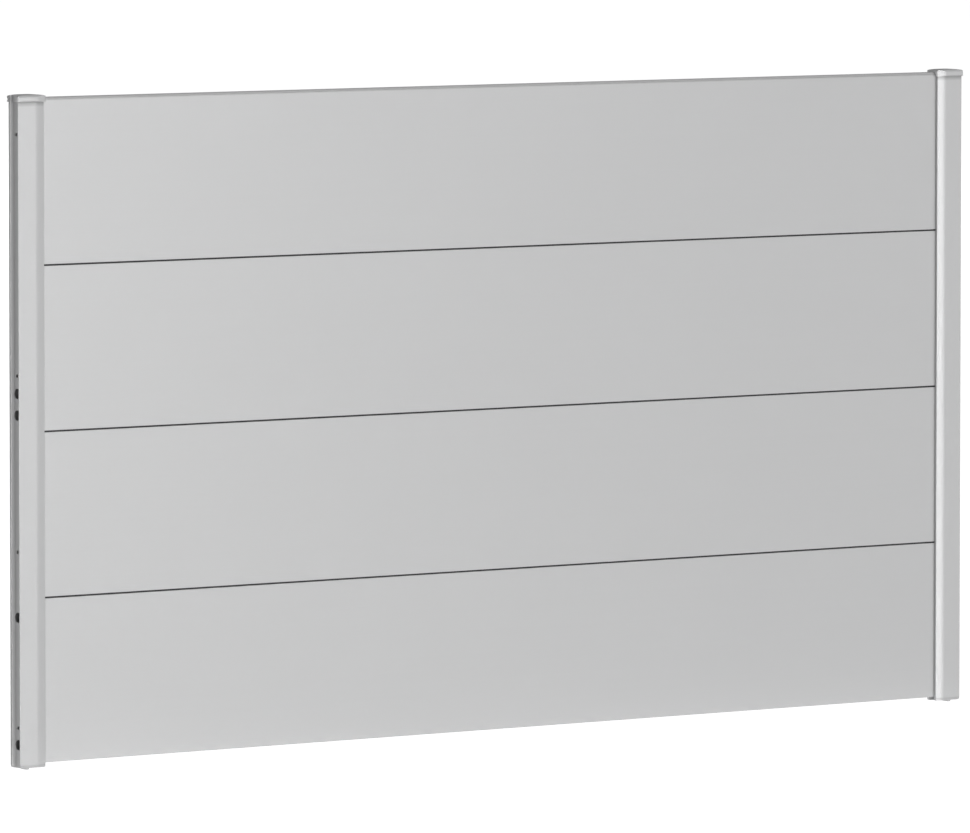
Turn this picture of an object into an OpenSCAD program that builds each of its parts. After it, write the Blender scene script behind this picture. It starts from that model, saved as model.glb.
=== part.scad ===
// Free-standing bay of a metal privacy screen: wide hollow boards between two slim channel posts.
// Units are millimetres. X runs along the screen, Y from front to back and Z up.
// The origin is the bottom centre of the left foot.

/* [Screen] */
// Overall width, across the outer edges of both posts
screen_w = 1600; // [900:10:2400]
// Visible width of the dark seam between two boards
seam_gap = 2.1; // [1:0.1:6]

/* [Boards] */
// Height of one board
board_h = 221; // [150:1:300]
// Thickness of a board
board_t = 12; // [10:0.5:24]
// Wall thickness of the board's two faces
board_wall = 1.2; // [1:0.1:2.5]
// Number of ribs inside a board, between its two edge grooves
board_ribs = 4; // [1:1:8]
// Radius of a board's long edges
board_edge_r = 0.6; // [0.2:0.1:1]
// Thickness of a rib and of the walls round an edge groove
rib_t = 1.2; // [0.8:0.1:2]
// Width of the groove in a board's edge
edge_groove_w = 5.2; // [4:0.1:6]
// Depth of the groove in a board's edge
edge_groove_d = 9; // [6:0.5:14]

/* [Strips] */
// Play between a strip's leg and the groove that it enters, on each side
strip_play = 0.2; // [0.1:0.05:0.5]
// How far a strip's leg stays short of the groove's floor
leg_short = 1; // [0.5:0.5:3]
// How far the seam strip's bar lies behind the board's face
seam_depth = 2.6; // [1:0.1:3.2]
// Height of the top closing strip above the top board
top_strip_h = 2.9; // [2:0.1:8]
// Radius of the top closing strip's upper edges
top_strip_r = 2.6; // [1:0.1:6]

/* [Posts] */
// Depth of a post, from front to back
post_d = 23.6; // [20:0.2:40]
// Width of the flat part of a post's front
post_flat_w = 28; // [20:0.5:50]
// Width of the bevelled flange beside the boards
flange_w = 14.2; // [10:0.2:24]
// Slope of the flange
flange_angle = 10; // [2:1:16]
// Radius that joins the flat front to the flange
flange_r = 38; // [10:1:60]
// Radius of a flange's end
flange_tip_r = 1.2; // [0.5:0.1:2]
// Radius of a post's two outer edges
post_edge_r = 0.5; // [0.2:0.1:1]
// Wall thickness of a post
post_wall = 1.8; // [1.2:0.1:3]
// Depth of the open groove in a post's outer side
side_groove_d = 4.8; // [3:0.1:9]
// Thickness of the lips in front of and behind the side groove
side_lip_t = 0.9; // [0.8:0.1:3]
// Radius of the side groove's inner corners
side_groove_r = 4.5; // [0.5:0.1:4.8]
// Gap between a flange's lip and the board's face
lip_gap = 0.4; // [0.2:0.1:1]
// Gap between a clamping strip and the inside of the flange
clamp_play = 0.1; // [0.05:0.05:0.4]
// Gap between a board's end and the bottom of its channel
board_end_gap = 1.5; // [0.5:0.5:6]

/* [Side holes] */
// Diameter of the fixing holes in the side groove
fixing_d = 5; // [3:0.5:8]
// Diameter of the access holes in the side groove
access_d = 14; // [8:1:16]
// Distance of the outermost fixing holes from the post's ends
fixing_edge = 50; // [30:5:80]
// Pitch of the fixing holes from the bottom one upward
fixing_pitch = 236.3; // [150:0.1:260]
// Height of the lowest access hole above the post's end
access_edge = 27.1; // [18:0.1:40]
// Height of the second access hole above the post's end
access_low = 198.4; // [120:0.1:260]
// Height of the pair of access holes above the post's end
access_pair = 484.2; // [320:0.1:560]
// Distance between the two access holes of the pair
access_pair_gap = 29; // [20:1:40]

/* [Caps] */
// How far a top cap stands out past the post's flat sides
cap_over = 2.4; // [1.5:0.1:4]
// How far a top cap stands out past the flanges' ends
cap_reach = 3; // [1.5:0.1:6]
// Play between the cap's skirt and the post
cap_play = 0.3; // [0.2:0.1:0.6]
// Length of the cap's skirt below the post's top
cap_skirt = 6.4; // [4:0.1:12]
// Thickness of the cap's top plate in the middle
cap_top_t = 4; // [3:0.1:5]
// How far the cap's domed top drops from its middle to its two ends
cap_dome = 2.1; // [0.5:0.1:2.5]
// Radius of the cap's upper edges
cap_r = 4.4; // [1:0.1:5]
// Radius of the lower edges of the cap's skirt
cap_low_r = 1.8; // [0.5:0.1:2]
// Radius of the cap's upright corners
cap_corner_r = 3.6; // [1:0.1:4.5]

/* [Base plugs and feet] */
// Thickness of a base plug's plate
plug_t = 3.8; // [3.2:0.1:8]
// How far the plate stays inside the post's outline
plug_inset = 0.2; // [0.1:0.1:0.4]
// Radius of the plate's lower edges
plug_r = 2.6; // [0.5:0.1:3.2]
// Radius of the plate's upright corners
plug_corner_r = 0.6; // [0.4:0.1:0.8]
// Length of the box that reaches up into the post
spigot_h = 16; // [8:1:40]
// Play round that box and round the foot's shank
spigot_play = 0.15; // [0.1:0.05:0.4]
// Depth of the notch that the plate has below the boards' channel
plug_notch = 7; // [2:0.5:9]
// Height of the board's seat above the post's lower end
seat_h = 1.7; // [1:0.1:6]
// Distance of the foot's middle from the post's outer side
foot_x = 15; // [13:0.5:20]
// Width of a foot
foot_w = 6.4; // [4:0.2:10]
// Length of a foot, from front to back
foot_len = 16; // [8:0.5:18]
// Height of a foot
foot_h = 2.4; // [1:0.1:10]
// Radius of a foot's lower edges
foot_r = 2.2; // [0.5:0.1:3]
// Diameter of a foot's shank
shank_d = 6; // [4:0.5:8]

/* [Hidden] */
$fn = 64;

// A length that carries a cut past the face that it opens
cut = 1;
// Smallest radius that an inward offset leaves
min_r = 0.3;
// How much lower the foot's shank ends than its boss, and the boss than the box round it
inner_step = 2;
// How far a cap's upper corner arc stands above the one that would just touch the dome
corner_rise = 0.04;
// One board for each board node
board_rows = 4;
half_d = post_d / 2;
post_w = post_flat_w + flange_w;
// The chamber lies between the side groove's wall and the channel's wall
chamber_x = side_groove_d + post_wall;
chamber_w = post_flat_w - chamber_x - post_wall;
chamber_half = half_d - post_wall;
groove_half = half_d - side_lip_t;
boss_h = spigot_h - inner_step;

// The cap's outer size, and the radius of its dome
cap_w = post_w + cap_over + cap_reach;
cap_d = post_d + 2 * cap_over;
cap_h = cap_skirt + cap_top_t;
dome_r = (cap_w * cap_w / 4 + cap_dome * cap_dome) / (2 * cap_dome);

// Heights, from the foot upward
post_z = foot_h + plug_t;
board_z = post_z + seat_h;
board_pitch = board_h + seam_gap;
boards_top = board_z + board_rows * board_pitch - seam_gap;
strip_top = boards_top + top_strip_h;
post_top = strip_top + cap_play;
post_len = post_top - post_z;
cap_top = post_top + cap_top_t;

// Board ends, from the middle of the left foot
left_edge = -foot_x;
board_x = left_edge + post_flat_w + board_end_gap;
board_len = screen_w - 2 * (post_flat_w + board_end_gap);

channel_half = board_t / 2 + lip_gap;
leg_w = edge_groove_w - 2 * strip_play;
leg_h = edge_groove_d - leg_short;

metal = [0.80, 0.80, 0.81];
cap_grey = [0.77, 0.77, 0.78];
strip_black = [0.10, 0.10, 0.11];
clamp_grey = [0.35, 0.35, 0.36];

// Heights of the fixing and access holes above the post's lower end
fixing_z = [fixing_edge, fixing_edge + fixing_pitch, fixing_edge + 2 * fixing_pitch,
            post_len - fixing_edge];
access_z = [access_edge, access_low, access_pair - access_pair_gap / 2,
            access_pair + access_pair_gap / 2];

// ---- Post outline ----
// Front half of the post's outline: flat, then an arc, then the flange's slope. It is grown outward
// by g and by reach at the flange's end, with corner_r at the outer edge and tip_r at the flange's.
module half_outline(g, reach, corner_r, tip_r) {
  r = flange_r + g;
  arc_x = post_flat_w + r * sin(flange_angle);
  arc_y = -half_d + flange_r - r * cos(flange_angle);
  end_x = post_w + reach;
  tip_x = end_x - tip_r;
  tip_y = arc_y + (tip_x - arc_x) * tan(flange_angle) + tip_r / cos(flange_angle);
  translate([-g, -half_d - g + corner_r]) square([post_flat_w + g, half_d + g - corner_r]);
  translate([-g + corner_r, -half_d - g]) square([post_flat_w + g - corner_r, half_d + g]);
  translate([-g + corner_r, -half_d - g + corner_r]) circle(corner_r);
  intersection() {
    translate([post_flat_w, -half_d + flange_r]) circle(r);
    translate([post_flat_w - cut, -half_d - g]) square([arc_x - post_flat_w + 2 * cut, half_d + g]);
  }
  polygon([[arc_x, arc_y], [tip_x + tip_r * sin(flange_angle), tip_y - tip_r * cos(flange_angle)],
           [tip_x, tip_y], [end_x, tip_y], [end_x, 0], [arc_x, 0]]);
  translate([tip_x, tip_y]) circle(tip_r);
}

// Whole outline in plan, seen from above, with the post's outer side at x = 0
module outline(g, reach, corner_r, tip_r) {
  half_outline(g, reach, corner_r, tip_r);
  mirror([0, 1]) half_outline(g, reach, corner_r, tip_r);
}

// The post's own outline
module post_outline() {
  outline(0, 0, post_edge_r, flange_tip_r);
}

// The outline moved inward by d, for what lies inside the post's walls
module inner_outline(d) {
  outline(-d, -d, min_r, min_r);
}

// Rectangle with round corners, centred on y, from x = 0
module soft_slot(w, h, r) {
  translate([0, -h / 2 + r]) square([w, h - 2 * r]);
  translate([0, -h / 2]) square([w - r, h]);
  for (s = [-1, 1])
    translate([w - r, s * (h / 2 - r)]) circle(r);
}

// The side groove, shrunk all round by g
module side_groove(g) {
  translate([-cut - cap_over, 0])
    soft_slot(side_groove_d - g + cut + cap_over, 2 * (groove_half - g), max(side_groove_r - g, min_r));
}

// The extruded section of a post
module post_section() {
  difference() {
    post_outline();
    side_groove(0);
    translate([chamber_x, -chamber_half]) square([chamber_w, 2 * chamber_half]);
    intersection() {
      inner_outline(post_wall);
      translate([post_flat_w, -half_d]) square([flange_w - post_wall, post_d]);
    }
    translate([post_flat_w, -channel_half]) square([flange_w + cut, 2 * channel_half]);
  }
}

module post() {
  difference() {
    translate([0, 0, post_z]) linear_extrude(post_len) post_section();
    for (z = fixing_z)
      translate([side_groove_d - cut, 0, post_z + z])
        rotate([0, 90, 0]) cylinder(d = fixing_d, h = post_wall + 2 * cut);
    for (z = access_z)
      translate([side_groove_d - cut, 0, post_z + z])
        rotate([0, 90, 0]) cylinder(d = access_d, h = post_wall + 2 * cut);
  }
}

// ---- Top cap ----
// Upright profile of the cap, w wide: a shallow dome over round upper corners, upright sides and
// smaller round lower corners
module cap_profile(w) {
  corner_x = w / 2 - cap_r;
  lean = asin(corner_x / (dome_r - cap_r));
  corner_z = cap_h - dome_r + (dome_r - cap_r) * cos(lean) + corner_rise;
  touch_x = dome_r * sin(lean);
  intersection() {
    translate([0, cap_h - dome_r]) circle(dome_r, $fn = 256);
    union() {
      translate([-w / 2, cap_low_r]) square([w, corner_z - cap_low_r]);
      translate([-w / 2 + cap_low_r, 0]) square([w - 2 * cap_low_r, corner_z]);
      translate([-touch_x, 0]) square([2 * touch_x, cap_h + cut]);
      for (s = [-1, 1]) {
        translate([s * corner_x, corner_z]) circle(cap_r);
        translate([s * (w / 2 - cap_low_r), cap_low_r]) circle(cap_low_r);
      }
    }
  }
}

module cap() {
  low = post_top - cap_skirt;
  difference() {
    intersection() {
      translate([0, 0, low]) linear_extrude(cap_h) difference() {
        outline(cap_over, cap_reach, cap_corner_r, cap_corner_r);
        side_groove(cap_over);
      }
      translate([cap_w / 2 - cap_over, cap_d / 2, low]) rotate([90, 0, 0])
        linear_extrude(cap_d) cap_profile(cap_w);
      translate([-cap_over, 0, low]) rotate([90, 0, 90])
        linear_extrude(cap_w) cap_profile(cap_d);
    }
    // Room for the post
    translate([0, 0, low - cut]) linear_extrude(cap_skirt + cut) difference() {
      outline(cap_play, cap_play, post_edge_r, flange_tip_r);
      side_groove(cap_play);
    }
    // Way in for the boards
    translate([post_w - cut, -channel_half, low - cut])
      cube([cap_reach + 2 * cut, 2 * channel_half, cap_skirt + cut]);
  }
  cap_spigot();
}

// Box under the cap's plate that grips the chamber
module cap_spigot() {
  w = chamber_w - 2 * spigot_play;
  d = 2 * (chamber_half - spigot_play);
  translate([chamber_x + spigot_play, -d / 2, post_top - spigot_h]) difference() {
    cube([w, d, spigot_h]);
    translate([post_wall, post_wall, -cut])
      cube([w - 2 * post_wall, d - 2 * post_wall, spigot_h + cut - post_wall]);
  }
}

// ---- Base plug and foot ----
// Upright profile, w wide and h high, with lower corners of radius r
module low_round_profile(w, h, r) {
  intersection() {
    translate([-w / 2, 0]) square([w, h]);
    union() {
      translate([-w / 2, r]) square([w, h]);
      translate([-w / 2 + r, 0]) square([w - 2 * r, h]);
      for (s = [-1, 1])
        translate([s * (w / 2 - r), r]) circle(r);
    }
  }
}

// A flat shape, w by d and centred, made h thick with round lower edges
module low_round_plate(w, d, h, r) {
  intersection() {
    linear_extrude(h) children();
    translate([0, d / 2, 0]) rotate([90, 0, 0]) linear_extrude(d) low_round_profile(w, h, r);
    translate([-w / 2, 0, 0]) rotate([90, 0, 90]) linear_extrude(w) low_round_profile(d, h, r);
  }
}

// The post's outline with its side groove and, below the channel, a notch
module plug_outline() {
  difference() {
    outline(-plug_inset, -plug_inset, plug_corner_r, plug_corner_r);
    side_groove(-plug_inset);
    translate([post_w - plug_notch, -channel_half]) square([plug_notch + cut, 2 * channel_half]);
  }
}

module base_plug() {
  w = chamber_w - 2 * spigot_play;
  d = 2 * (chamber_half - spigot_play);
  seat_w = flange_w - plug_notch - plug_inset;
  difference() {
    union() {
      translate([post_w / 2, 0, foot_h])
        low_round_plate(post_w - 2 * plug_inset, post_d - 2 * plug_inset, plug_t, plug_r)
          translate([-post_w / 2, 0]) plug_outline();
      // Box that grips the chamber
      translate([chamber_x + spigot_play, -d / 2, post_z - cut]) difference() {
        cube([w, d, spigot_h + cut]);
        translate([post_wall, post_wall, cut])
          cube([w - 2 * post_wall, d - 2 * post_wall, spigot_h + cut]);
      }
      // Boss round the foot's shank
      translate([foot_x, 0, post_z - cut]) cylinder(d = shank_d + 2 * post_wall, h = boss_h + cut);
      // Seat that carries the lowest board
      translate([post_flat_w + plug_inset, -channel_half + spigot_play, post_z - cut])
        cube([seat_w, 2 * (channel_half - spigot_play), seat_h + cut]);
    }
    translate([foot_x, 0, foot_h - cut])
      cylinder(d = shank_d + 2 * spigot_play, h = plug_t + boss_h + 2 * cut);
  }
}

// Oblong foot with a shank that stands in the plug
module foot() {
  bar = foot_len - foot_w;
  translate([foot_x, 0, 0]) {
    low_round_plate(foot_w, foot_len, foot_h, min(foot_r, foot_h - min_r / 2)) {
      square([foot_w, bar], center = true);
      for (s = [-1, 1])
        translate([0, s * bar / 2]) circle(foot_w / 2);
    }
    translate([0, 0, foot_h]) cylinder(d = shank_d, h = plug_t + boss_h - inner_step);
  }
}

// ---- Clamping strip between the boards and the front flange ----
module clamp() {
  clamp_w = (flange_w - post_wall) / 2;
  clamp_x = post_w - post_wall - clamp_w;
  translate([0, 0, board_z]) linear_extrude(strip_top - board_z) intersection() {
    inner_outline(post_wall + clamp_play);
    translate([clamp_x, -half_d]) square([clamp_w, half_d - board_t / 2]);
  }
}

// ---- Boards ----
// Section of a board, centred on x, standing on y = 0
module board_section() {
  groove_box_d = edge_groove_d + rib_t;
  inner_h = board_h - 2 * groove_box_d;
  cell_h = (inner_h - (board_ribs - 1) * rib_t) / board_ribs;
  difference() {
    union() {
      translate([-board_t / 2, board_edge_r]) square([board_t, board_h - 2 * board_edge_r]);
      translate([-board_t / 2 + board_edge_r, 0]) square([board_t - 2 * board_edge_r, board_h]);
      for (x = [-1, 1], z = [board_edge_r, board_h - board_edge_r])
        translate([x * (board_t / 2 - board_edge_r), z]) circle(board_edge_r);
    }
    for (i = [0:board_ribs - 1])
      translate([-board_t / 2 + board_wall, groove_box_d + i * (cell_h + rib_t)])
        square([board_t - 2 * board_wall, cell_h]);
    translate([-edge_groove_w / 2, -cut]) square([edge_groove_w, edge_groove_d + cut]);
    translate([-edge_groove_w / 2, board_h - edge_groove_d]) square([edge_groove_w, edge_groove_d + cut]);
  }
}

// Anything with the boards' length, drawn as a section that looks along X
module along_boards(z) {
  translate([board_x, 0, z]) rotate([90, 0, 90]) linear_extrude(board_len) children();
}

module board(i) {
  along_boards(board_z + i * board_pitch) board_section();
}

// Bar that holds two boards apart, with a leg into each of them
module seam_strip(i) {
  bar_w = board_t - 2 * seam_depth;
  along_boards(board_z + i * board_pitch + board_h) {
    translate([-bar_w / 2, 0]) square([bar_w, seam_gap]);
    translate([-leg_w / 2, -leg_h]) square([leg_w, 2 * leg_h + seam_gap]);
  }
}

// Round-edged head on the top board, with a leg into its groove
module top_strip() {
  r = min(top_strip_r, top_strip_h - min_r);
  along_boards(boards_top) {
    translate([-board_t / 2, 0]) square([board_t, top_strip_h - r]);
    translate([-board_t / 2 + r, 0]) square([board_t - 2 * r, top_strip_h]);
    for (s = [-1, 1])
      intersection() {
        translate([s * (board_t / 2 - r), top_strip_h - r]) circle(r);
        translate([-board_t / 2, 0]) square([board_t, top_strip_h]);
      }
    translate([-leg_w / 2, -leg_h]) square([leg_w, leg_h + cut]);
  }
}

// Channel that closes the lowest board's groove, flush with its edge
module bottom_strip() {
  along_boards(board_z)
    difference() {
      translate([-leg_w / 2, 0]) square([leg_w, leg_h]);
      translate([-leg_w / 2 + rib_t, rib_t]) square([leg_w - 2 * rib_t, leg_h]);
    }
}

// ---- Placing ----
// Left-hand pieces start at the screen's left edge, right-hand ones are their mirror image
module left() {
  translate([left_edge, 0, 0]) children();
}
module right() {
  translate([left_edge + screen_w, 0, 0]) mirror([1, 0, 0]) children();
}
module back() {
  mirror([0, 1, 0]) children();
}

color(metal) left() post();  // left_post
color(metal) right() post();  // right_post
color(cap_grey) left() cap();  // left_top_cap
color(cap_grey) right() cap();  // right_top_cap
color(cap_grey) left() base_plug();  // left_base_plug
color(cap_grey) right() base_plug();  // right_base_plug
color(clamp_grey) left() foot();  // left_foot
color(clamp_grey) right() foot();  // right_foot
color(metal) board(0);  // board_1
color(metal) board(1);  // board_2
color(metal) board(2);  // board_3
color(metal) board(3);  // board_4
color(strip_black) seam_strip(0);  // seam_strip_1
color(strip_black) seam_strip(1);  // seam_strip_2
color(strip_black) seam_strip(2);  // seam_strip_3
color(metal) top_strip();  // top_closing_strip
color(strip_black) bottom_strip();  // bottom_closing_strip
color(clamp_grey) left() clamp();  // left_front_clamp
color(clamp_grey) back() left() clamp();  // left_back_clamp
color(clamp_grey) right() clamp();  // right_front_clamp
color(clamp_grey) back() right() clamp();  // right_back_clamp
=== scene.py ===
# %% [markdown]
# # A privacy screen of four metal boards
#
# This lesson dresses one bay of a garden privacy screen. Four wide hollow boards lie one on
# another between two slim posts, each post has a push-on cap and a plug with a low oblong foot,
# and the whole bay is powder coated in one light grey.
#
# The shapes come ready made from a solid modeller, so nothing here moves or reshapes them. What is
# left for Blender is what a solid modeller doesn't know: how the coat, the moulded caps, the dark
# strips and the scuffed feet take the light.

# %% Load the solid parts
import math

import bpy
from mathutils import Matrix, Vector


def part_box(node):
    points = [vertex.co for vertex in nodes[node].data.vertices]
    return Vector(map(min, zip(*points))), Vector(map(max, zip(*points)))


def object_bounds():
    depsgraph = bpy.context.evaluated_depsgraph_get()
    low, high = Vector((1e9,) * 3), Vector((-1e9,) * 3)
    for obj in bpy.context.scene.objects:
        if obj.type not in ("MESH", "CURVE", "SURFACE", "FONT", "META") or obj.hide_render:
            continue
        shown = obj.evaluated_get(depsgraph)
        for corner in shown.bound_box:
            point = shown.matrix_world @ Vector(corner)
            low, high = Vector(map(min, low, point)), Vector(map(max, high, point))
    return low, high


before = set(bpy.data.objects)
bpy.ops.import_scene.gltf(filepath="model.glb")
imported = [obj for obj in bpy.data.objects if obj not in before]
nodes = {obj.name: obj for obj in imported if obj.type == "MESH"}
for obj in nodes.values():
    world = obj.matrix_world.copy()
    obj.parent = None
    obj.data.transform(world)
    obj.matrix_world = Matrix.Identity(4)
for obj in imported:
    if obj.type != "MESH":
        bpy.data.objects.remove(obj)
solid_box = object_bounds()
print("solid parts:", len(nodes), "size", [round(x, 4) for x in solid_box[1] - solid_box[0]])

# %% [markdown]
# ## Shader sums written as sums
#
# A grain or a mask is a sum of several textures. Placing a Math node for each plus and times by
# hand hides the sum, so a small class wraps an output socket and turns the arithmetic signs into
# Math nodes. The reflected forms are there so that `1.0 - mask` reads as it would on paper.


# %% A socket that can be added and multiplied
class Signal:
    """One output socket of a shader node, with arithmetic."""

    def __init__(self, finish, socket):
        self.finish = finish
        self.socket = socket

    def _math(self, operation, *terms, clamp=False):
        settings = {"operation": operation, "use_clamp": clamp}
        return self.finish.node("ShaderNodeMath", settings, dict(enumerate(terms)))

    def __add__(self, other):
        return self._math("ADD", self, other)

    def __sub__(self, other):
        return self._math("SUBTRACT", self, other)

    def __rsub__(self, other):
        return self._math("SUBTRACT", other, self)

    def __mul__(self, other):
        return self._math("MULTIPLY", self, other)

    def __truediv__(self, other):
        return self._math("DIVIDE", self, other)

    def absolute(self):
        return self._math("ABSOLUTE", self)

    def limited(self):
        return self._math("ADD", self, 0.0, clamp=True)

    __radd__ = __add__
    __rmul__ = __mul__


# %% [markdown]
# ## One way to add any other node
#
# Every other node is asked for in the same three parts: its type, the settings that change which
# sockets it has, and then the values or links of those sockets, each by its name or its number.
# Settings go first because a Mix node, for one, has other sockets once it is told to mix colours.


# %% A material or a world that nodes are added to
# The dark colour of the painted shade lines: shade under and beside joints, painted into the
# colour.
PAINTED_SHADE = (0.05, 0.05, 0.05)
FULL_DEPTH = 0.005  # how far from the middle plane a face takes the whole painted shade


class Finish:
    """The nodes of a material or a world. node() adds one and gives its first output in use."""

    def __init__(self, owner):
        owner.use_nodes = True
        self.tree = owner.node_tree
        self.tree.nodes.clear()

    def _plug(self, socket, value):
        if isinstance(value, Signal):
            self.tree.links.new(value.socket, socket)
        elif socket.type == "RGBA" and len(value) == 3:
            socket.default_value = (*value, 1.0)
        else:
            socket.default_value = value

    def node(self, kind, settings=None, inputs=None, output=None):
        """One node: its type, its settings, its inputs and the name of the output to give."""
        made = self.tree.nodes.new(kind)
        for name, value in (settings or {}).items():
            setattr(made, name, value)
        used = [s for s in made.inputs if s.enabled]
        for key, value in (inputs or {}).items():
            by_name = [s for s in used if s.name == key]
            self._plug(used[key] if isinstance(key, int) else by_name[0], value)
        outputs = [s for s in made.outputs if s.enabled]
        if not outputs:
            return None
        named = [s for s in outputs if output in (None, s.name)]
        return Signal(self, named[0])

    def shades(self, factor, first, second):
        """A colour between two others."""
        inputs = {"Factor": factor, "A": first, "B": second}
        return self.node("ShaderNodeMix", {"data_type": "RGBA"}, inputs)

    def noise(self, vector, scale, detail=2.0, roughness=0.5):
        """Smooth random values round one half."""
        inputs = {"Vector": vector, "Scale": scale, "Detail": detail, "Roughness": roughness}
        return self.node("ShaderNodeTexNoise", {}, inputs)

    def place(self):
        """A point's place on the screen, in metres."""
        return self.node("ShaderNodeTexCoord", output="Object")

    def stretched(self, vector, scale):
        """The same place in a space that is squeezed or stretched along the axes."""
        inputs = {0: vector, 1: scale}
        return self.node("ShaderNodeVectorMath", {"operation": "MULTIPLY"}, inputs)

    def ray(self, kind):
        """1 for a ray of that kind, such as Camera or Glossy, and 0 for any other."""
        return self.node("ShaderNodeLightPath", output="Is " + kind + " Ray")

    def part(self, vector, axis):
        """One component of a vector."""
        return self.node("ShaderNodeSeparateXYZ", {}, {"Vector": vector}, axis)

    def with_painted_shade(self, colour, marks):
        """The colour darkened by a line of painted shade at each mark: axis, place, reach and
        strength.

        The painted shade lies on the screen's front and back. A normal that points away from the
        middle plane has the sign of y, so their product is above nought there and nowhere else.
        """
        place = self.place()
        normal = self.node("ShaderNodeTexCoord", output="Normal")
        depth = self.part(normal, "Y") * self.part(place, "Y")
        outside = (depth / FULL_DEPTH).limited()
        for axis, where, reach, strength in marks:
            closeness = (1.0 - (self.part(place, axis) - where).absolute() / reach).limited()
            colour = self.shades(closeness * outside * strength, colour, PAINTED_SHADE)
        return colour

    def bump(self, height, distance):
        """A normal tilted by a height from 0 to 1, where 1 stands for `distance` metres."""
        inputs = {"Height": height, "Distance": distance, "Strength": 1.0}
        return self.node("ShaderNodeBump", {}, inputs)

    def surface(self, **sockets):
        """The finish's shader. Socket names are written with _ for a space."""
        inputs = {name.replace("_", " "): value for name, value in sockets.items()}
        shader = self.node("ShaderNodeBsdfPrincipled", {}, inputs)
        self.node("ShaderNodeOutputMaterial", {}, {"Surface": shader})


print("helpers ready")

# %% [markdown]
# ## The powder coat
#
# The posts, the boards and the strip on top are aluminium extrusions, coated together. Powder is
# sprayed on dry and baked until it flows, so a smooth coat keeps a faint orange-peel skin, a
# millimetre or two from crest to crest and a few microns high. Under it the drawn lines of the
# extrusion run along the length and show only as the finest streaks.
#
# Two ways are open: a metal shader under a clear coat, or a plain coloured plastic-like shader. A
# powder coat hides the metal, so the plain shader is nearer, with its roughness set for a satin
# sheen and its colour almost even. The grey has a little mica in it, which turns some of its
# diffuse light into sheen, and a small share of the metal shader stands for that.


# %% The coat, for a length that runs along one axis
COAT_DARK, COAT_LIGHT = (0.535, 0.537, 0.541), (0.585, 0.587, 0.590)
MICA = 0.15  # the share of metal shader


def drawn_lines(finish, place, along, fine, long):
    """Streaks along axis number `along`: how many to a metre across it and along it."""
    scale = [fine] * 3
    scale[along] = long
    return finish.noise(finish.stretched(place, tuple(scale)), scale=1.0, detail=2.0)


def powder_coat(name, along, marks):
    """Coated metal extruded along axis number `along`, with lines of painted shade at the marks."""
    material = bpy.data.materials.new(name)
    finish = Finish(material)
    place = finish.place()
    drawn = drawn_lines(finish, place, along, fine=900.0, long=1.5)
    peel = finish.noise(place, scale=620.0, detail=1.0)
    clouds = finish.noise(place, scale=3.2, detail=3.0, roughness=0.55)
    specks = finish.noise(place, scale=2600.0, detail=0.0)
    tone = (0.5 + (clouds - 0.5) * 0.25 + (drawn - 0.5) * 0.22 + (specks - 0.5) * 0.2).limited()
    colour = finish.shades(tone, COAT_DARK, COAT_LIGHT)
    roughness = 0.31 + (clouds - 0.5) * 0.04 + (peel - 0.5) * 0.05
    skin = peel * 0.8 + drawn * 0.2
    finish.surface(
        # the base colour takes the lines of painted shade at the marks
        Base_Color=finish.with_painted_shade(colour, marks),
        Metallic=MICA,
        Roughness=roughness,
        IOR=1.5,
        Normal=finish.bump(skin, distance=0.000012),
    )
    return material


# %% [markdown]
# ## Where the painted shade lies
#
# Lines of painted shade darken the coat where a joint keeps light off it: under the cap's
# skirt, beside the flanges, along the joint of the top strip and at the foot of each post. It
# could be painted by hand, but a line that is placed from the solid that makes the joint follows
# when a size changes.
#
# One joint has to be looked for. The cap's box reaches down to its spigot, inside the post, and
# the skirt is shorter: it ends at the cap's lowest point that is clear of the post's side.

# %% Marks of painted shade on the boards and the posts
CLEAR = 0.001  # outside the post's side by more than this
left_post, right_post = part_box("left_post"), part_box("right_post")
post_end = left_post[0].z
cap = nodes["left_top_cap"]
cap_points = [cap.matrix_world @ v.co for v in cap.data.vertices]
skirt_end = min(p.z for p in cap_points if p.x < left_post[0].x - CLEAR)
flange_ends = (left_post[1].x, right_post[0].x)
boards_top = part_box("board_4")[1].z

# each line of painted shade: axis, place, reach in metres, strength. On the boards it lies beside
# the flanges and at the top strip's joint, on the posts under the cap's skirt and at the post's
# foot.
board_marks = [("X", flange_end, 0.005, 0.16) for flange_end in flange_ends]
board_marks.append(("Z", boards_top, 0.0022, 0.3))
post_marks = [("Z", skirt_end, 0.0065, 0.55), ("Z", post_end, 0.003, 0.1)]
board_coat = powder_coat("board_coat", 0, board_marks)
post_coat = powder_coat("post_coat", 2, post_marks)
print("coats:", board_coat.name, post_coat.name, "skirt ends at", round(skirt_end, 4))

# %% [markdown]
# ## The moulded caps and plugs
#
# The caps and plugs are injection moulded and lacquered in the coat's grey, so from a few steps
# away they can't be told from the posts. They could share the posts' material, but its drawn lines
# would run across a domed top. So they get the coat's colours with a mould's very fine, even grain.


# %% Caps and plugs
MOULD_GRAIN = 2300.0


def moulded_grey(name, marks):
    """The coat's grey as a lacquer on moulded plastic, with lines of painted shade at the marks."""
    material = bpy.data.materials.new(name)
    finish = Finish(material)
    place = finish.place()
    grain = finish.noise(place, scale=MOULD_GRAIN, detail=1.0)
    clouds = finish.noise(place, scale=30.0, detail=2.0)
    tone = (0.5 + (clouds - 0.5) * 0.6 + (grain - 0.5) * 0.3).limited()
    finish.surface(
        # the base colour takes the lines of painted shade at the marks
        Base_Color=finish.with_painted_shade(finish.shades(tone, COAT_DARK, COAT_LIGHT), marks),
        Metallic=MICA,
        Roughness=0.33 + (grain - 0.5) * 0.06,
        IOR=1.5,
        Normal=finish.bump(grain, distance=0.000006),
    )
    return material


# a line of painted shade on each plug's top, where it meets the foot of the post
cap_grey = moulded_grey("cap_grey", [("Z", post_end, 0.003, 0.3)])
print("moulded:", cap_grey.name)
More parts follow.
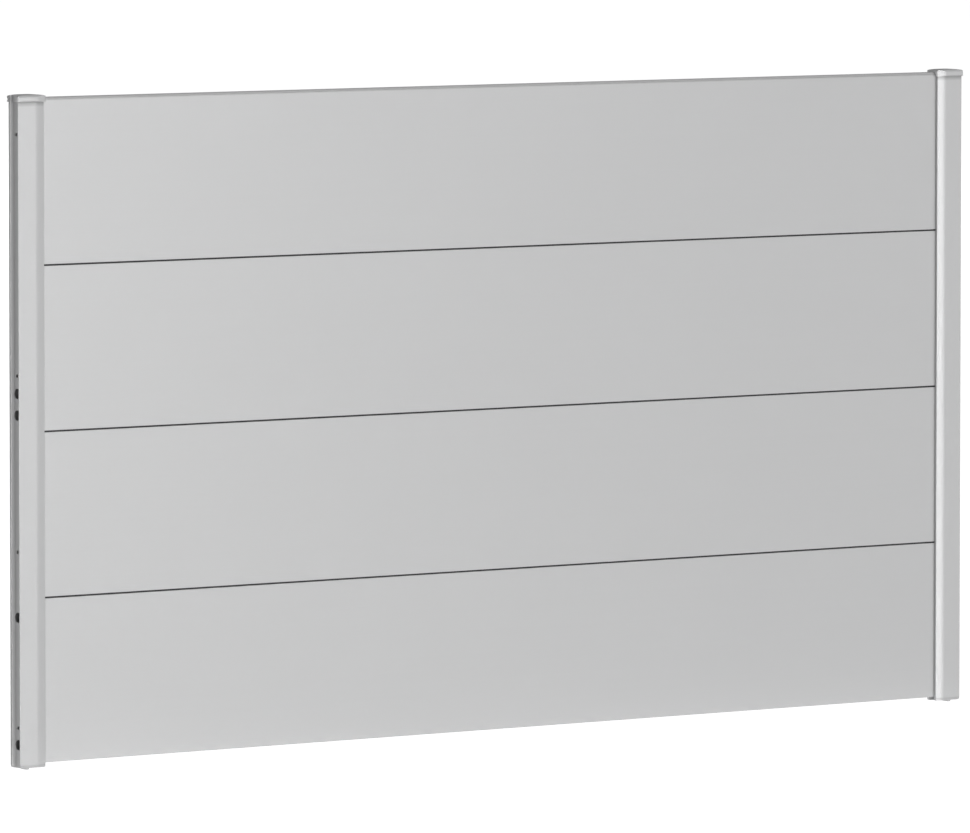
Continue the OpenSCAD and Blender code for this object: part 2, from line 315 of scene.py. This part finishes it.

# %% [markdown]
# ## The dark strips
#
# The strip in each seam is what makes the thin dark line between two boards. It is drawn plastic,
# so it has fine lines along its length and a dull surface, and its near black is painted shade: it
# stands in for the shadow deep in the gap between two boards. The strips that clamp the boards'
# ends are rubber, and only duller. A plain black would pass from afar, but one function with the
# lines serves both and holds up close by.


# %% Seam and clamping strips
def dark_strip(name, base, roughness, along):
    """Dull dark material with fine lines along axis number `along`."""
    material = bpy.data.materials.new(name)
    finish = Finish(material)
    drawn = drawn_lines(finish, finish.place(), along, fine=1400.0, long=2.0)
    lighter = tuple(1.7 * level for level in base)
    finish.surface(
        Base_Color=finish.shades(drawn, base, lighter),
        Roughness=roughness + (drawn - 0.5) * 0.15,
        IOR=1.45,
        Normal=finish.bump(drawn, distance=0.00002),
    )
    return material


# the seam strips' near black is painted shade for the gap between boards; the bottom closing strip
# gets it too
seam_shade_black = dark_strip("seam_shade_black", (0.012, 0.012, 0.013), roughness=0.55, along=0)
clamp_rubber = dark_strip("clamp_rubber", (0.020, 0.020, 0.020), roughness=0.75, along=2)
print("strips:", seam_shade_black.name, clamp_rubber.name)

# %% [markdown]
# ## The feet
#
# Each foot is a low oblong pad of the same moulded plastic, a shade lighter. It is the one piece
# that is dragged over paving, so its sole is scuffed, and the dirt in the scratches is darker than
# the rest. Scratches this fine aren't worth cutting into the mesh. A stretched noise draws them,
# and the height over the sole fades them out.


# %% Foot pads
SCUFFED_HEIGHT = 0.0016


def foot_plastic(name, sole):
    """Moulded plastic that is scuffed near the height of its sole."""
    material = bpy.data.materials.new(name)
    finish = Finish(material)
    place = finish.place()
    low = (1.0 - (finish.part(place, "Z") - sole) / SCUFFED_HEIGHT).limited()
    swept = finish.stretched(place, (900.0, 240.0, 900.0))
    scratches = finish.noise(swept, scale=1.0, detail=3.0, roughness=0.7)
    grain = finish.noise(place, scale=MOULD_GRAIN, detail=1.0)
    dirt = (low * (scratches * 2.2 - 0.6)).limited()
    finish.surface(
        Base_Color=finish.shades(dirt, (0.60, 0.60, 0.605), (0.42, 0.41, 0.40)),
        Roughness=0.46 + dirt * 0.3 + (grain - 0.5) * 0.1,
        IOR=1.46,
        Normal=finish.bump(scratches * low + grain * 0.3, distance=0.00003),
    )
    return material


pad_grey = foot_plastic("pad_grey", solid_box[0].z)
print("feet:", pad_grey.name)

# %% [markdown]
# ## Which finish goes where
#
# Each solid keeps its shape and has its one material swapped. The names of the solids say what they
# are, so the choice is a short list of rules.

# %% Give every solid its finish
rules = [
    ("board_", board_coat),
    ("top_closing_strip", board_coat),
    ("seam_strip", seam_shade_black),
    ("bottom_closing_strip", seam_shade_black),
    ("_foot", pad_grey),
    ("_clamp", clamp_rubber),
    ("_post", post_coat),
    ("_top_cap", cap_grey),
    ("_base_plug", cap_grey),
]
for name, solid in nodes.items():
    chosen = next(material for piece, material in rules if piece in name)
    solid.data.materials.clear()
    solid.data.materials.append(chosen)
print("dressed:", {n: o.data.materials[0].name for n, o in sorted(nodes.items())})

# %% [markdown]
# ## White surroundings
#
# The surroundings are plain white to the camera and in every gloss, while the soft light that they
# shed is dimmer: that keeps the background clean and leaves the shading to the lamps. A grey flag,
# which is only a dark side of the surroundings, stands behind the right post, out of the camera's
# sight. Surfaces that are seen at a flat angle, such as the tops of the caps, mirror that side, and
# without the flag they would be lighter than the fronts.


# %% World
WHITE = (1.0, 1.0, 1.0)
FLAG_SIDE = (0.58, 0.81, 0.0)


def surroundings(ambient, flag):
    """White where it is seen or mirrored, but for a grey flag. As a soft light it is dimmer."""
    world = bpy.data.worlds.new("surroundings")
    bpy.context.scene.world = world
    sky = Finish(world)
    way = sky.node("ShaderNodeTexCoord", output="Generated")
    towards = {0: way, 1: FLAG_SIDE}
    facing = sky.node("ShaderNodeVectorMath", {"operation": "DOT_PRODUCT"}, towards, "Value")
    lens = sky.ray("Camera") + sky.ray("Transmission")
    flagged = sky.shades(facing.limited() * (1.0 - lens), WHITE, (1.0 - flag,) * 3)
    light = sky.node("ShaderNodeBackground", {}, {"Color": flagged, "Strength": ambient})
    white = sky.node("ShaderNodeBackground", {}, {"Color": flagged, "Strength": 1.0})
    sight = (lens + sky.ray("Glossy")).limited()
    shown = sky.node("ShaderNodeMixShader", {}, {0: sight, 1: light, 2: white})
    sky.node("ShaderNodeOutputWorld", {}, {"Surface": shown})
    return world


world = surroundings(ambient=0.2, flag=0.73)
print("world:", world.name)

# %% [markdown]
# ## The floor
#
# The floor could be plain matt white, but it would then throw up so much light that the lower
# boards came out lighter than the upper ones. So what it shows depends on the kind of ray. The
# camera sees a matt white that glows, which keeps it white where nothing shades it and still takes
# the screen's shadow. Soft light bounces off a satin that sends most of what it gets from the
# lamps away behind the screen, and only a narrow strip under the screen bounces the full white, to
# light plugs and feet. A gloss sees the satin and the glow together: the white floor, with the
# lamps mirrored in it.


# %% Floor
FLOOR_WHITE = (0.8, 0.8, 0.8)
FLOOR_GLOW = 0.87
BRIGHT_STRIPS = [(0.05, 0.36), (0.8, 0.04)]  # half width and share of full white


def pale_floor(size):
    """A square floor under the middle of the screen, level with the feet."""
    half = size / 2
    corners = [(-half, -half, 0), (half, -half, 0), (half, half, 0), (-half, half, 0)]
    mesh = bpy.data.meshes.new("floor")
    mesh.from_pydata(corners, [], [(0, 1, 2, 3)])
    floor = bpy.data.objects.new("floor", mesh)
    bpy.context.scene.collection.objects.link(floor)
    floor.location = ((solid_box[0].x + solid_box[1].x) / 2, 0.0, solid_box[0].z)
    material = bpy.data.materials.new("pale_floor")
    finish = Finish(material)
    diffuse = finish.node("ShaderNodeBsdfDiffuse", {}, {"Color": FLOOR_WHITE})
    glow = finish.node("ShaderNodeEmission", {}, {"Color": WHITE, "Strength": FLOOR_GLOW})
    lifted = finish.node("ShaderNodeAddShader", {}, {0: diffuse, 1: glow})
    satin_values = {"Base Color": FLOOR_WHITE, "Roughness": 0.15, "IOR": 1.5}
    satin = finish.node("ShaderNodeBsdfPrincipled", {}, satin_values)
    away = finish.part(finish.place(), "Y").absolute()
    shares = [(1.0 - away / reach).limited() * share for reach, share in BRIGHT_STRIPS]
    near = shares[0] + shares[1]
    bounced = finish.node("ShaderNodeMixShader", {}, {0: near, 1: satin, 2: lifted})
    mirrored = finish.node("ShaderNodeAddShader", {}, {0: satin, 1: glow})
    gloss = finish.ray("Glossy")
    lit = finish.node("ShaderNodeMixShader", {}, {0: gloss, 1: bounced, 2: mirrored})
    lens = (finish.ray("Camera") + finish.ray("Transmission")).limited()
    shown = finish.node("ShaderNodeMixShader", {}, {0: lens, 1: lit, 2: lifted})
    finish.node("ShaderNodeOutputMaterial", {}, {"Surface": shown})
    mesh.materials.append(material)
    return floor


floor = pale_floor(size=80.0)
print("floor at", round(floor.location.z, 4))

# %% [markdown]
# ## Light
#
# One very wide soft lamp stands far in front, a little to the right and a little above. It is the
# main light: the satin coat shows its blurred mirror image, strongest on the bevelled flange of the
# right post, which is turned just enough to catch it. What faces left or up gets only the pale
# surroundings.
#
# A second lamp does the same for the back. It is narrow and stands straight behind, so its light
# passes the side grooves by: their deep middle can't see it past the lip.


# %% Lamps
FAR, RAISED = 20.0, 6.0  # metres from the screen's middle, degrees above it
middle = (solid_box[0] + solid_box[1]) / 2


def soft_lamp(name, azimuth, width, height, strength):
    """A rectangular lamp that faces the screen. Azimuth 0 is in front and 90 to the right."""
    a, e = math.radians(azimuth), math.radians(RAISED)
    away = Vector((math.sin(a) * math.cos(e), -math.cos(a) * math.cos(e), math.sin(e)))
    data = bpy.data.lights.new(name, "AREA")
    data.shape = "RECTANGLE"
    data.size, data.size_y = width, height
    data.energy = strength * width * height * math.pi
    lamp = bpy.data.objects.new(name, data)
    bpy.context.scene.collection.objects.link(lamp)
    lamp.location = middle + away * FAR
    lamp.rotation_mode = "QUATERNION"
    lamp.rotation_quaternion = away.to_track_quat("Z", "Y")
    return lamp


key = soft_lamp("front_softbox", azimuth=3.0, width=19.2, height=4.0, strength=8.4)
fill = soft_lamp("back_softbox", azimuth=180.0, width=6.0, height=4.0, strength=25.0)
print("lamps at", [[round(x, 2) for x in lamp.location] for lamp in (key, fill)])

# %% [markdown]
# ## Camera
#
# A short lens close by would spread the boards' lines like a fan. A long one far away keeps them
# almost parallel. The camera stands to the left of the screen and a little above it, and looks at
# its middle.


# %% Camera
def long_lens(position, azimuth, pitch, lens):
    """Azimuth is measured from +Y towards +X and pitch downward, both in degrees."""
    a, p = math.radians(azimuth), math.radians(pitch)
    ahead = Vector((math.sin(a) * math.cos(p), math.cos(a) * math.cos(p), -math.sin(p)))
    right = Vector((math.cos(a), -math.sin(a), 0.0))
    up = right.cross(ahead)
    data = bpy.data.cameras.new("camera")
    data.sensor_width = 36.0
    data.lens = lens
    data.clip_end = 200.0
    camera = bpy.data.objects.new("camera", data)
    bpy.context.scene.collection.objects.link(camera)
    turn = Matrix((right, up, -ahead)).transposed()
    camera.matrix_world = Matrix.Translation(position) @ turn.to_4x4()
    bpy.context.scene.camera = camera
    return camera


stand = Vector((-7.2867, -11.2494, 1.4403))
camera = long_lens(stand, azimuth=35.571, pitch=4.127, lens=372.58)
print("lens", round(camera.data.lens, 1), "mm")

# %% [markdown]
# ## Colour
#
# Blender's own default view softens bright colours. The Standard one shows a colour as it is
# written, which suits a grey that should come out as that grey.

# %% View
bpy.context.scene.view_settings.view_transform = "Standard"
